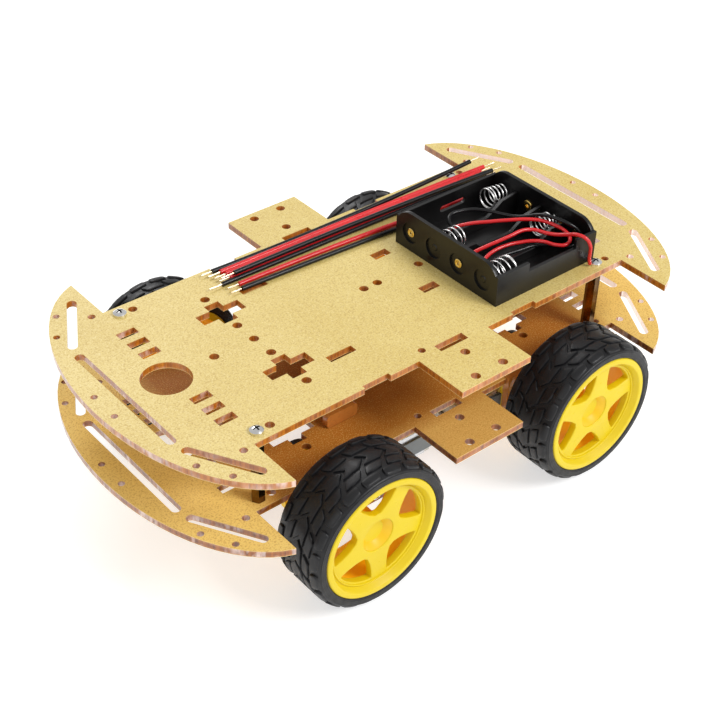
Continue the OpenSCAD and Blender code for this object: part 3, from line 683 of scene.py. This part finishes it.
def tread_block(build, corners, height, round_off, vee=0.0):
    """One raised block; corners are four (angle in degrees, distance from the middle) pairs,
    round_off draws its outline in at the corners, and vee swings both of its ends forward by
    that many degrees."""
    nu, nv = 6, 4

    def at(u, v, inset, drop):
        """The point at u, v from 0 to 1 over the block, drawn in by inset and down by drop."""
        s, t = 2 * u - 1, 2 * v - 1
        s, t = s * math.sqrt(1 - round_off * t * t / 2), t * math.sqrt(1 - round_off * s * s / 2)
        u, v = (s * (1 - inset[0]) + 1) / 2, (t * (1 - inset[1]) + 1) / 2
        low = [corners[0][i] * (1 - u) + corners[1][i] * u for i in (0, 1)]
        high = [corners[3][i] * (1 - u) + corners[2][i] * u for i in (0, 1)]
        a, w = (low[i] * (1 - v) + high[i] * v for i in (0, 1))
        a += vee * abs(2 * v - 1)
        top, base = crown_radius(w), carcass_radius(w) - TREAD_ROOT
        r = base + (top - base) * height * (1 - drop)
        return about_axle(r, math.radians(a), TYRE_MID + w)

    wide = math.radians(abs(corners[1][0] - corners[0][0])) * TREAD_R
    deep = abs(corners[2][1] - corners[1][1])
    rim = [(i / nu, 0) for i in range(nu)] + [(1, j / nv) for j in range(nv)] \
        + [(1 - i / nu, 1) for i in range(nu)] + [(0, 1 - j / nv) for j in range(nv)]
    steps = [(0.0, 1.0), (0.16, 0.30), (0.30, 0.06), (0.52, 0.0)]  # distance in, fall of the edge
    rings = [[at(u, v, (2 * d / wide, 2 * d / deep), drop) for u, v in rim] for d, drop in steps]
    build.loop_strip(rings)
    inner = (2 * steps[-1][0] / wide, 2 * steps[-1][0] / deep)
    grid = [[at(i / nu, j / nv, inner, 0.0) for i in range(nu + 1)] for j in range(nv + 1)]
    build.loop_strip(grid, closed_ring=False)


def tyre(corner):
    """Carcass, two raised beads on each wall, and the tread."""
    build = Build()
    side = [(25.35, 11.1), (27.06, 11.1), (27.2, 12.55), (27.7, 12.85), (28.5, 12.95),
            (29.6, 12.92), (30.3, 12.72), (30.62, 12.5), (30.76, 12.2), (30.9, 11.6),
            (31.1, 10.9), (31.42, 9.6), (31.62, 8.5), (31.65, 4.0)]
    ring = [(r, TYRE_MID - w) for r, w in side] + [(r, TYRE_MID + w) for r, w in reversed(side)]
    build.lathe(ring, about_axle, 120)
    for r, out in ((28.1, 0.12), (29.9, 0.1)):
        for flip in (-1, 1):
            bead = [(r + 0.22 * math.cos(a), TYRE_MID + flip * (12.88 + out * math.sin(a)))
                    for a in (math.pi * k / 4 for k in range(5))]
            build.lathe(bead, about_axle, 96)
    for k in range(TREAD_COUNT):
        a = k * TREAD_PITCH
        for flip in (-1, 1):
            # on either side a pad on the shoulder, and inside it a slanted block
            tread_block(build, [(a + 1.4, flip * 8.4), (a + 16.6, flip * 8.4),
                                (a + 15.8, flip * 12.1), (a + 2.2, flip * 12.1)], 1.0, 0.42)
            tread_block(build, [(a + 8.2, flip * 3.9), (a + 23.4, flip * 3.9),
                                (a + 27.2, flip * 7.5), (a + 13.6, flip * 7.5)], 0.97, 0.22)
        # a chevron in the middle
        tread_block(build, [(a + 1.5, -3.0), (a + 16.5, -3.0), (a + 16.5, 3.0), (a + 1.5, 3.0)],
                    1.0, 0.1, 6.5)
    obj = build.object(f"tyre_tread_{corner}", RUBBER, at_corner(corner), angle=42)
    place_piece(obj, f"{corner}_wheel", "tyre_rubber", f"tyre_{corner}")


def filleted(points, radius, steps=5):
    """A closed outline with each corner rounded by up to that radius."""
    out = []
    for i, p in enumerate(points):
        p = Vector(p)
        a, b = Vector(points[i - 1]) - p, Vector(points[(i + 1) % len(points)]) - p
        turn = a.angle(b)
        if turn > math.radians(150):
            out.append(tuple(p))
            continue
        cut = min(radius / math.tan(turn / 2), 0.45 * a.length, 0.45 * b.length)
        start, end = p + a.normalized() * cut, p + b.normalized() * cut
        for k in range(steps + 1):
            u = k / steps
            out.append(tuple(start * (1 - u) ** 2 + p * 2 * u * (1 - u) + end * u * u))
    return out


def window_outline():
    """Opening between two spokes, about the +X direction."""
    half = math.radians(SPOKE_STEP / 2)

    def off_spoke(along, wide, side):
        """A point so far out along the spoke on that side, and so far from its middle line."""
        x = along * math.cos(half) + wide * math.sin(half)
        y = along * math.sin(half) - wide * math.cos(half)
        return (x, side * y)

    edge = [(9.7, 5.6), (13.0, 4.5), (17.0, 3.95), (21.0, 3.9)]
    outer = 21.35
    last = off_spoke(*edge[-1], 1)
    end = math.atan2(last[1], last[0])
    arc = [(outer * math.cos(a), outer * math.sin(a))
           for a in (end * (1 - k / 5) for k in range(0, 11))]
    right = [off_spoke(*e, -1) for e in edge[:-1]]
    left = [off_spoke(*e, 1) for e in reversed(edge[:-1])]
    return filleted([*right, *reversed(arc), *left], 1.5)


def star_mesh(turn):
    """The spoke disc as an outline with five windows and the mouth of the hub recess."""
    data = bpy.data.curves.new("star", "CURVE")
    data.dimensions = "2D"
    data.fill_mode = "BOTH"
    data.extrude = STAR_HALF_T * MM
    data.bevel_depth = STAR_ROUND * MM
    data.offset = -STAR_ROUND * MM
    data.bevel_resolution = 3
    window = window_outline()
    loops = [ring_of(STAR_R, 120), ring_of(HUB_MOUTH_R, 60)]
    for k in range(SPOKES):
        a = math.radians(turn + SPOKE_STEP / 2 + SPOKE_STEP * k)
        loops.append([(x * math.cos(a) - y * math.sin(a), x * math.sin(a) + y * math.cos(a))
                      for x, y in window])
    for loop in loops:
        spline = data.splines.new("POLY")
        spline.points.add(len(loop) - 1)
        spline.use_cyclic_u = True
        for point, (x, y) in zip(spline.points, loop):
            point.co = (x * MM, y * MM, 0, 1)
    temporary = bpy.data.objects.new("star", data)
    bpy.context.collection.objects.link(temporary)
    bpy.context.view_layer.update()
    graph = bpy.context.evaluated_depsgraph_get()
    mesh = bpy.data.meshes.new_from_object(temporary.evaluated_get(graph))
    points = [tuple(c / MM for c in v.co) for v in mesh.vertices]
    faces = [tuple(p.vertices) for p in mesh.polygons]
    bpy.data.objects.remove(temporary)
    bpy.data.meshes.remove(mesh)
    bpy.data.curves.remove(data)
    return points, faces


def rim(corner):
    """Drum, spoke disc, cup of the hub, hub with its back plate, and a pip on each spoke."""
    f, b = RIM_FACE, RIM_BACK
    build = Build()
    drum = [(27.0, f + 1.78), (27.0, f + 0.7), (26.86, f + 0.3), (26.5, f + 0.06), (26.1, f),
            (24.9, f), (24.5, f + 0.08), (24.25, f + 0.34), (23.5, f + 2.5), (23.3, f + 2.75),
            (23.0, f + 2.72), (22.85, f + 2.45), (22.5, f + 2.3), (22.2, f + 2.45),
            (22.05, f + 2.9), (22.05, f + 6.5), (23.8, f + 6.7), (23.85, b - 0.4), (24.1, b),
            (26.6, b), (26.95, b - 0.3), (27.0, b - 1.78), (25.25, b - 1.8), (25.25, f + 1.8)]
    build.lathe(drum, about_axle, 120)
    points, faces = star_mesh(SPOKE_TURN[corner])
    build.add([(x, f + STAR_MID + z, y) for x, y, z in points], faces)
    recess = [(7.25, f + 3.5), (7.0, f + 3.6), (5.0, f + 6.0), (4.75, f + 6.22), (4.4, f + 6.3),
              (0.01, f + 6.3), (0.01, f + 6.9), (5.2, f + 6.9), (7.25, f + 4.1)]
    build.lathe(recess, about_axle, 60)
    back = [(0.01, f + 7.6), (2.9, f + 7.6), (2.9, HUB_END), (5.3, HUB_END), (5.6, HUB_END - 0.3),
            (5.6, f + 8.4), (6.2, f + 7.9), (9.2, f + 7.9), (9.55, f + 7.6), (9.6, f + 6.2)]
    build.lathe(back, about_axle, 60)
    pip = [(0.42, 0.05), (0.36, -0.05), (0.2, -0.11), (0.01, -0.13)]
    for k in range(SPOKES):
        a = math.radians(SPOKE_TURN[corner] + SPOKE_STEP * k)
        x, z = PIP_OUT * math.cos(a), PIP_OUT * math.sin(a)
        build.lathe(pip, lambda r, t, d: (x + r * math.cos(t), f + 3 + d, z + r * math.sin(t)),
                    12, closed=False)
    obj = build.object(f"rim_detail_{corner}", YELLOW, at_corner(corner), angle=40)
    obj.data.materials.append(YELLOW_PAINTED_INNER_SHADE)
    obj.data.materials.append(YELLOW_PAINTED_CUP_SHADE)
    sx = CORNERS[corner][0]
    # Faces behind the spokes get the orange painted shade of the drum's inside, and the cup's
    # sloping wall gets its own painted shade.
    for polygon in obj.data.polygons:
        x, y, z = (c / MM for c in polygon.center)
        depth = WHEEL_FACE_Y - abs(y)
        reach = math.hypot(x - sx * AXLE_X, z - AXLE_Z)
        if depth > 6.4 and reach < 24.0:  # behind the spokes
            polygon.material_index = 1
        elif 3.2 < depth < 6.6 and 4.6 < reach < HUB_MOUTH_R:  # sloping wall of the cup
            polygon.material_index = 2
    place_piece(obj, f"{corner}_wheel", "yellow_rim", f"rim_{corner}")


for corner in CORNERS:
    tyre(corner)
    rim(corner)

# ---- battery box fittings ----

BOX_X, BOX_Y, BOX_L, BOX_W = 30.0, -42.8, 57.5, 61.8
BOX_REAR = BOX_X + BOX_L
CELL_PITCH = 14.7
CELL_MID = BOX_Y + BOX_W / 2
CELL_Z = DECK_TOP_Z + 8.6
END_T = 1.8
CELL_Y = [CELL_MID + (1.5 - i) * CELL_PITCH for i in range(4)]
SPRING_LENGTHS = (9.6, 11.0, 8.0, 12.2)
SPRING_Z = CELL_Z + 0.4
SPRING_TURNS = 4
SPRING_WIRE_R = 0.34
RIB_HALF_T = 0.8
# outline of a partition from the side, as x from the front wall and height over the deck
RIB_PROFILE = ((1.9, 1.6), (1.9, 10.6), (4.2, 10.2), (6.4, 8.8), (17, 8.4), (19.5, 6), (38, 6),
               (46.5, 11.4), (BOX_L - 1.9, 12.4), (BOX_L - 1.9, 1.6))


def springs():
    """Contact springs, each ending in a flat closed turn; the rear ones taper to the wall."""
    build = Build()
    steps = 28
    for i, (y, length) in enumerate(zip(CELL_Y, SPRING_LENGTHS)):
        at_front = i % 2 == 1
        x0 = BOX_X + END_T + 1 if at_front else BOX_REAR - END_T - 1
        route = []
        for k in range((SPRING_TURNS + 1) * steps):
            turn = k / steps
            u = min(turn / SPRING_TURNS, 1)
            r = 4.8 if at_front else 3.6 + 1.0 * u
            along = length * u
            a = 2 * math.pi * turn + i
            route.append((x0 + along * (1 if at_front else -1), y + r * math.cos(a),
                          SPRING_Z + r * math.sin(a)))
        build.tube(route, SPRING_WIRE_R, 10)
    obj = build.object("contact_springs", SPRING, angle=60)
    place_piece(obj, "chassis", "spring_steel", "battery_springs")


def contacts():
    """A brass eyelet through one end wall of each cell, its rolled lips showing on both sides,
    and a black plug in the other wall, behind the spring."""
    build = Build()
    plugs = Build()
    stub = [(0.01, 0.55), (1.2, 0.55), (1.54, 0.9), (1.54, 2.1), (0.01, 2.1)]
    lips = [(0.75, 0.5), (1.5, 0.5), (1.5, 0.75), (1.9, 0.72), (2.0, 0.45), (1.7, 0.24),
            (1.2, 0.3), (0.75, 0.62)]
    eyelet = [(0.75, 1.6), (0.85, 2.35), (1.5, 2.5), (2.3, 2.42), (2.6, 2.15), (2.6, 1.82),
              (1.5, 1.8), (1.5, 0.6), (0.75, 0.6)]
    for i, y in enumerate(CELL_Y):
        for end, (wall, way) in enumerate(((BOX_X, 1), (BOX_REAR, -1))):
            def through_wall(r, t, d):
                return (wall + way * d, y + r * math.cos(t), CELL_Z + r * math.sin(t))

            if end != i % 2:
                plugs.lathe(stub, through_wall, 24, closed=False)
                continue
            for outline in (lips, eyelet):
                build.lathe(outline, through_wall, 24)
    obj = build.object("contact_eyelets", BRASS, angle=45)
    place_piece(obj, "chassis", "contact_brass", "battery_contacts")
    place_piece(plugs.object("spring_stubs", BOX), "chassis", "box_black")


def cell_ribs():
    """Partitions between the cells, high at the front wall and sloping up to the rear one."""
    build = Build()
    for i in range(3):
        y = CELL_Y[i] - CELL_PITCH / 2
        rings = [[(BOX_X + x, y + half, DECK_TOP_Z + z) for x, z in RIB_PROFILE]
                 for half in (-RIB_HALF_T, RIB_HALF_T)]
        build.loop_strip(rings, capped=True)
    obj = build.object("cell_ribs", BOX, angle=30)
    edge = obj.modifiers.new("edge", "BEVEL")
    edge.width = 0.22 * MM
    edge.segments = 2
    place_piece(obj, "chassis", "box_black")


def contact_tabs():
    """Folded ends of the brass plate at the rear wall, beside the last partition."""
    build = Build()
    y = CELL_Y[2] - CELL_PITCH / 2 - 1.3
    for inward, height in ((7.0, 13.2), (8.2, 10.4), (9.6, 7.4)):
        x, z = BOX_REAR - inward, DECK_TOP_Z + height
        rings = [[(x, y - 0.5, z + d), (x, y + 0.5, z + d), (x + 1.5, y + 0.5, z + d),
                  (x + 1.5, y - 0.5, z + d)] for d in (0, 1.3)]
        build.loop_strip(rings, capped=True)
    place_piece(build.object("contact_tabs", BRASS, angle=30), "chassis", "contact_brass")


springs()
contacts()
cell_ribs()
contact_tabs()

# ---- floor, world and lights ----

FLOOR_SIZE = 6000  # half of its width
WHITE = (1.0, 1.0, 1.0)
FLOOR_DROP = 0.0002  # in metres, so that the tyres don't lie in the floor's plane
AIM = (0, 0, 0.05)  # in metres, the middle of the object


def make_stage():
    """A wide pale floor and an even white sky."""
    build = Build()
    signs = ((-1, -1), (1, -1), (1, 1), (-1, 1))
    build.add([(x * FLOOR_SIZE, y * FLOOR_SIZE, 0) for x, y in signs], [(0, 1, 2, 3)])
    s = Shader("stage_floor")
    s.set(Base_Color=(0.62, 0.62, 0.62), Roughness=0.6, Specular_IOR_Level=0.2,
          Emission_Color=WHITE, Emission_Strength=0.58)
    floor = build.object("stage_floor", s.material)
    floor.location.z = -FLOOR_DROP
    world = bpy.data.worlds.new("world")
    bpy.context.scene.world = world
    world.use_nodes = True
    sky = world.node_tree.nodes["Background"].inputs
    sky["Color"].default_value = (*WHITE, 1)
    sky["Strength"].default_value = 0.53


def area_light(name, place, size, watts):
    """A round light that faces the object; its place and size are in metres."""
    data = bpy.data.lights.new(name, "AREA")
    data.shape = "DISK"
    data.size = size
    data.energy = watts
    light = bpy.data.objects.new(name, data)
    light.location = place
    light.rotation_euler = (Vector(AIM) - Vector(place)).to_track_quat("-Z", "Y").to_euler()
    bpy.context.collection.objects.link(light)


make_stage()
area_light("key", (0.55, -1.25, 1.25), 0.8, 22)
area_light("fill", (-1.4, -0.5, 1.0), 1.2, 4)
area_light("back", (0.3, 1.3, 1.3), 0.9, 12)
bpy.context.scene.view_settings.view_transform = "Standard"
